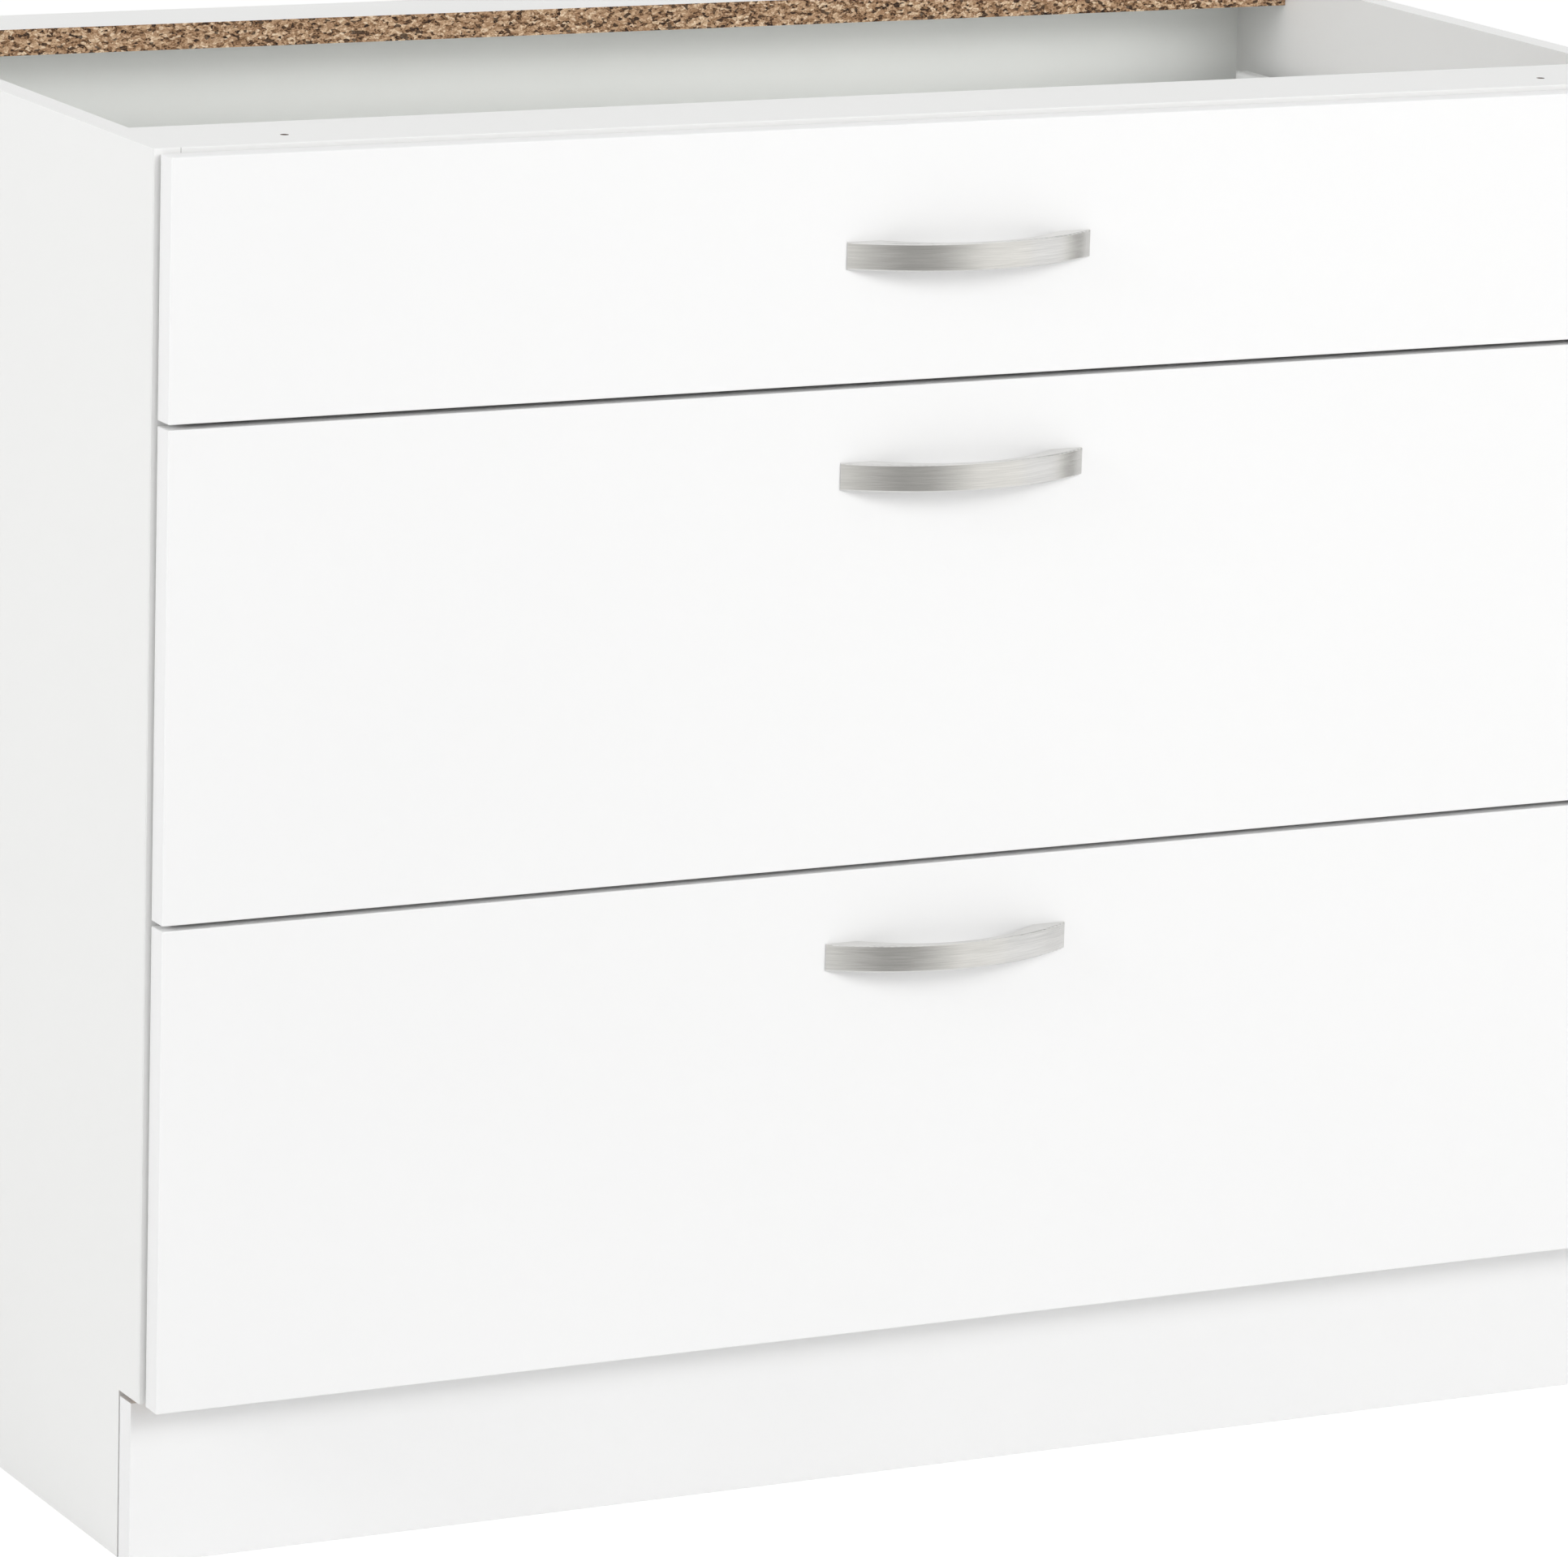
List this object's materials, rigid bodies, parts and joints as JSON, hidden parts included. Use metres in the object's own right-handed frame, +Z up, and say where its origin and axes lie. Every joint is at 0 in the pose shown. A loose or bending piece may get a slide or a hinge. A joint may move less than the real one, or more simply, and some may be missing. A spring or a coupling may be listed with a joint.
{
  "type": "base cabinet with drawers",
  "caption": "Kitchen base unit without a worktop: white board carcass, slab drawer fronts with bow handles, steel drawer sides on roller runners.",
  "frame": {"origin": "on the floor, under the middle of the unit's box", "axes": "+X to the right as seen from the front, +Y to the back, +Z up; the drawers open along -Y"},
  "size_m": [1, 0.566, 0.82],
  "materials": {
    "white_melamine": "satin melamine",
    "raw_edge_melamine": "satin melamine with one raw chipboard edge",
    "edge_band": "satin",
    "back_board": "smooth white hardboard",
    "front_foil": "satin white",
    "handle_metal": "brushed",
    "white_steel": "powder coat",
    "zinc_steel": "bright zinc",
    "cast_zinc": "cast zinc",
    "roller_plastic": "smooth",
    "cup_plastic": "smooth",
    "beech": "bare beech"
  },
  "bodies": {
    "carcass": {"side_panel_left": "white_melamine", "side_panel_right": "white_melamine", "bottom_panel": "white_melamine", "front_cross_rail": "white_melamine", "rear_cross_rail": "raw_edge_melamine", "front_edge_bands": "edge_band", "back_panel": "back_board", "plinth_board": "white_melamine", "cam_locks": "cast_zinc", "cam_bolts": "zinc_steel", "wooden_dowels": "beech", "back_panel_screws": "zinc_steel", "plinth_brackets": "zinc_steel", "plinth_screws": "zinc_steel", "cabinet_rail_screws": "zinc_steel", "top_cabinet_rail_left": "white_steel", "top_cabinet_rail_right": "white_steel", "middle_cabinet_rail_left": "white_steel", "middle_cabinet_rail_right": "white_steel", "bottom_cabinet_rail_left": "white_steel", "bottom_cabinet_rail_right": "white_steel"},
    "top_drawer": {"top_drawer_front": "front_foil", "top_handle": "handle_metal", "top_handle_screws": "zinc_steel", "top_drawer_side_left": "white_steel", "top_drawer_side_right": "white_steel", "top_drawer_floor": "white_melamine", "top_drawer_back": "white_melamine", "top_front_brackets": "white_steel", "top_box_screws": "zinc_steel"},
    "top_front_rollers": {"top_front_rollers": "roller_plastic"},
    "top_rear_rollers": {"top_rear_rollers": "roller_plastic"},
    "middle_drawer": {"middle_drawer_front": "front_foil", "middle_handle": "handle_metal", "middle_handle_screws": "zinc_steel", "middle_drawer_side_left": "white_steel", "middle_drawer_side_right": "white_steel", "middle_drawer_floor": "white_melamine", "middle_drawer_back": "white_melamine", "middle_front_brackets": "white_steel", "middle_box_screws": "zinc_steel", "middle_gallery_rods": "white_steel", "middle_gallery_cups": "cup_plastic"},
    "middle_front_rollers": {"middle_front_rollers": "roller_plastic"},
    "middle_rear_rollers": {"middle_rear_rollers": "roller_plastic"},
    "bottom_drawer": {"bottom_drawer_front": "front_foil", "bottom_handle": "handle_metal", "bottom_handle_screws": "zinc_steel", "bottom_drawer_side_left": "white_steel", "bottom_drawer_side_right": "white_steel", "bottom_drawer_floor": "white_melamine", "bottom_drawer_back": "white_melamine", "bottom_front_brackets": "white_steel", "bottom_box_screws": "zinc_steel", "bottom_gallery_rods": "white_steel", "bottom_gallery_cups": "cup_plastic"},
    "bottom_front_rollers": {"bottom_front_rollers": "roller_plastic"},
    "bottom_rear_rollers": {"bottom_rear_rollers": "roller_plastic"}
  },
  "joints": [
    {"name": "top_drawer_slide", "type": "slide", "parent": "carcass", "child": "top_drawer", "axis": [0, -1, 0], "range_m": [0, 0.38]},
    {"name": "middle_drawer_slide", "type": "slide", "parent": "carcass", "child": "middle_drawer", "axis": [0, -1, 0], "range_m": [0, 0.38]},
    {"name": "bottom_drawer_slide", "type": "slide", "parent": "carcass", "child": "bottom_drawer", "axis": [0, -1, 0], "range_m": [0, 0.38]},
    {"name": "top_front_rollers_spin", "type": "hinge", "parent": "carcass", "child": "top_front_rollers", "pos_m": [0, -0.223, 0.6882], "axis": [1, 0, 0], "range_deg": [0, 1980]},
    {"name": "top_rear_rollers_spin", "type": "hinge", "parent": "top_drawer", "child": "top_rear_rollers", "pos_m": [0, 0.25, 0.6853], "axis": [1, 0, 0], "range_deg": [0, 1980]},
    {"name": "middle_front_rollers_spin", "type": "hinge", "parent": "carcass", "child": "middle_front_rollers", "pos_m": [0, -0.223, 0.4032], "axis": [1, 0, 0], "range_deg": [0, 1980]},
    {"name": "middle_rear_rollers_spin", "type": "hinge", "parent": "middle_drawer", "child": "middle_rear_rollers", "pos_m": [0, 0.25, 0.4003], "axis": [1, 0, 0], "range_deg": [0, 1980]},
    {"name": "bottom_front_rollers_spin", "type": "hinge", "parent": "carcass", "child": "bottom_front_rollers", "pos_m": [0, -0.223, 0.1357], "axis": [1, 0, 0], "range_deg": [0, 1980]},
    {"name": "bottom_rear_rollers_spin", "type": "hinge", "parent": "bottom_drawer", "child": "bottom_rear_rollers", "pos_m": [0, 0.25, 0.1328], "axis": [1, 0, 0], "range_deg": [0, 1980]}
  ],
  "couplings": [
    {"joint": "top_front_rollers_spin", "follows": "top_drawer_slide", "rad_per_m": 90.909},
    {"joint": "top_rear_rollers_spin", "follows": "top_drawer_slide", "rad_per_m": 90.909},
    {"joint": "middle_front_rollers_spin", "follows": "middle_drawer_slide", "rad_per_m": 90.909},
    {"joint": "middle_rear_rollers_spin", "follows": "middle_drawer_slide", "rad_per_m": 90.909},
    {"joint": "bottom_front_rollers_spin", "follows": "bottom_drawer_slide", "rad_per_m": 90.909},
    {"joint": "bottom_rear_rollers_spin", "follows": "bottom_drawer_slide", "rad_per_m": 90.909}
  ]
}
